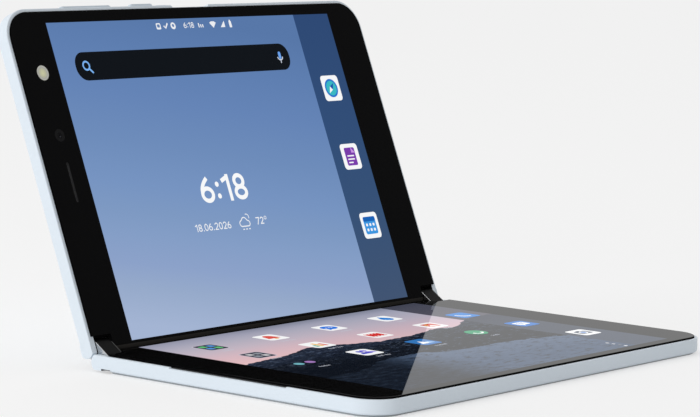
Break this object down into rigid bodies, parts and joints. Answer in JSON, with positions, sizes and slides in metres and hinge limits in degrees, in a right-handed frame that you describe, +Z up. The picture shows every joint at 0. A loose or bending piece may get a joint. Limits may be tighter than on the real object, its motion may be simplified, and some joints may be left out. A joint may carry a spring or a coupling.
{
  "type": "foldable smartphone",
  "caption": "Foldable phone with a screen on each half, joined along one edge by geared dual-axis hinges; stands open like a small laptop and folds shut or right round.",
  "frame": {"origin": "centre of the lower half's back face, which lies flat on the table", "axes": "+X along the hinge towards the right-hand side, +Y away from the user to the hinge, +Z up"},
  "size_m": [0.1452, 0.1312, 0.0906],
  "materials": {
    "frame_shell": "satin moulded white",
    "clear_glass": "polished, clear over the screen",
    "white_glass": "polished, opaque white behind",
    "screen_panel": "lit display panel",
    "alloy_plate": "bead blasted",
    "battery_pouch": "dark matt foil",
    "circuit_board": "solder mask",
    "shield_steel": "tin-plated sheet",
    "motor_steel": "satin",
    "magnet_nickel": "nickel-plated",
    "hinge_steel": "polished",
    "gear_steel": "machined",
    "link_metal": "polished",
    "link_cover_plastic": "matt black",
    "screw_steel": "zinc-plated",
    "flex_film": "polyimide film",
    "camera_body": "matt black",
    "lens_glass": "coated lens",
    "flash_plastic": "clear over yellow phosphor",
    "mesh_steel": "fine woven mesh",
    "receiver_plastic": "matt",
    "port_steel": "deep-drawn",
    "port_plastic": "glass-filled",
    "sensor_pad": "smooth lacquer",
    "key_metal": "satin white",
    "tray_metal": "satin white",
    "card_plastic": "printed card"
  },
  "bodies": {
    "base": {"base_frame": "frame_shell", "base_back_glass": "white_glass", "base_cover_glass": "clear_glass", "base_display": "screen_panel", "base_midplate": "alloy_plate", "base_battery": "battery_pouch", "base_board": "circuit_board", "base_shield_cans": "shield_steel", "base_vibration_motor": "motor_steel", "base_magnets": "magnet_nickel", "base_hinge_brackets": "hinge_steel", "base_hinge_shafts": "gear_steel", "base_bracket_screws": "screw_steel", "base_board_screws": "screw_steel", "base_display_flex": "flex_film"},
    "link_left": {"left_link_housing": "link_metal", "left_link_end_plate": "link_metal", "left_link_cover": "link_cover_plastic"},
    "idler_left_lower": {"left_idler_lower": "gear_steel"},
    "idler_left_upper": {"left_idler_upper": "gear_steel"},
    "link_right": {"right_link_housing": "link_metal", "right_link_end_plate": "link_metal", "right_link_cover": "link_cover_plastic"},
    "idler_right_lower": {"right_idler_lower": "gear_steel"},
    "idler_right_upper": {"right_idler_upper": "gear_steel"},
    "lid": {"lid_frame": "frame_shell", "lid_back_glass": "white_glass", "lid_cover_glass": "clear_glass", "lid_display": "screen_panel", "lid_midplate": "alloy_plate", "lid_battery": "battery_pouch", "lid_main_board": "circuit_board", "lid_shield_cans": "shield_steel", "lid_magnets": "magnet_nickel", "lid_hinge_brackets": "hinge_steel", "lid_hinge_shafts": "gear_steel", "lid_bracket_screws": "screw_steel", "lid_board_screws": "screw_steel", "lid_display_flex": "flex_film", "lid_camera_module": "camera_body", "lid_camera_lens": "lens_glass", "lid_flash_led": "flash_plastic", "lid_earpiece_mesh": "mesh_steel", "lid_receiver": "receiver_plastic", "lid_usb_shell": "port_steel", "lid_usb_tongue": "port_plastic", "lid_card_reader": "port_steel", "lid_side_key_flex": "flex_film", "lid_fingerprint_sensor": "sensor_pad"},
    "volume_rocker": {"volume_rocker": "key_metal"},
    "power_key": {"power_key": "key_metal"},
    "card_tray": {"card_tray": "tray_metal", "card": "card_plastic"}
  },
  "joints": [
    {"name": "fold", "type": "hinge", "parent": "base", "child": "link_left", "pos_m": [0, 0.04425, 0.0024], "axis": [-1, 0, 0], "range_deg": [-56.1, 123.9]},
    {"name": "lid_fold", "type": "hinge", "parent": "link_left", "child": "lid", "pos_m": [0, 0.04848, 0.00524], "axis": [-1, 0, 0], "range_deg": [-56.1, 123.9]},
    {"name": "fold_right", "type": "hinge", "parent": "base", "child": "link_right", "pos_m": [0, 0.04425, 0.0024], "axis": [-1, 0, 0], "range_deg": [-56.1, 123.9]},
    {"name": "idler_left_lower_spin", "type": "hinge", "parent": "link_left", "child": "idler_left_lower", "pos_m": [0, 0.04566, 0.00335], "axis": [-1, 0, 0], "range_deg": [-56.1, 123.9]},
    {"name": "idler_left_upper_spin", "type": "hinge", "parent": "link_left", "child": "idler_left_upper", "pos_m": [0, 0.04707, 0.0043], "axis": [-1, 0, 0], "range_deg": [-123.9, 56.1]},
    {"name": "idler_right_lower_spin", "type": "hinge", "parent": "link_right", "child": "idler_right_lower", "pos_m": [0, 0.04566, 0.00335], "axis": [-1, 0, 0], "range_deg": [-56.1, 123.9]},
    {"name": "idler_right_upper_spin", "type": "hinge", "parent": "link_right", "child": "idler_right_upper", "pos_m": [0, 0.04707, 0.0043], "axis": [-1, 0, 0], "range_deg": [-123.9, 56.1]},
    {"name": "volume_rock", "type": "hinge", "parent": "lid", "child": "volume_rocker", "pos_m": [-0.0394, 0.08198, 0.08732], "axis": [0, -0.9259, 0.3778], "range_deg": [-1, 1], "stiffness_Nm_per_rad": 0.4},
    {"name": "power_press", "type": "slide", "parent": "lid", "child": "power_key", "axis": [0, -0.3778, -0.9259], "range_m": [0, 0.00025], "stiffness_N_per_m": 4000},
    {"name": "tray_slide", "type": "slide", "parent": "lid", "child": "card_tray", "axis": [0, 0.3778, 0.9259], "range_m": [0, 0.014]}
  ],
  "couplings": [
    {"joint": "lid_fold", "follows": "fold", "ratio": 1},
    {"joint": "fold_right", "follows": "fold", "ratio": 1},
    {"joint": "idler_left_lower_spin", "follows": "fold", "ratio": 1},
    {"joint": "idler_left_upper_spin", "follows": "fold", "ratio": -1},
    {"joint": "idler_right_lower_spin", "follows": "fold", "ratio": 1},
    {"joint": "idler_right_upper_spin", "follows": "fold", "ratio": -1}
  ]
}
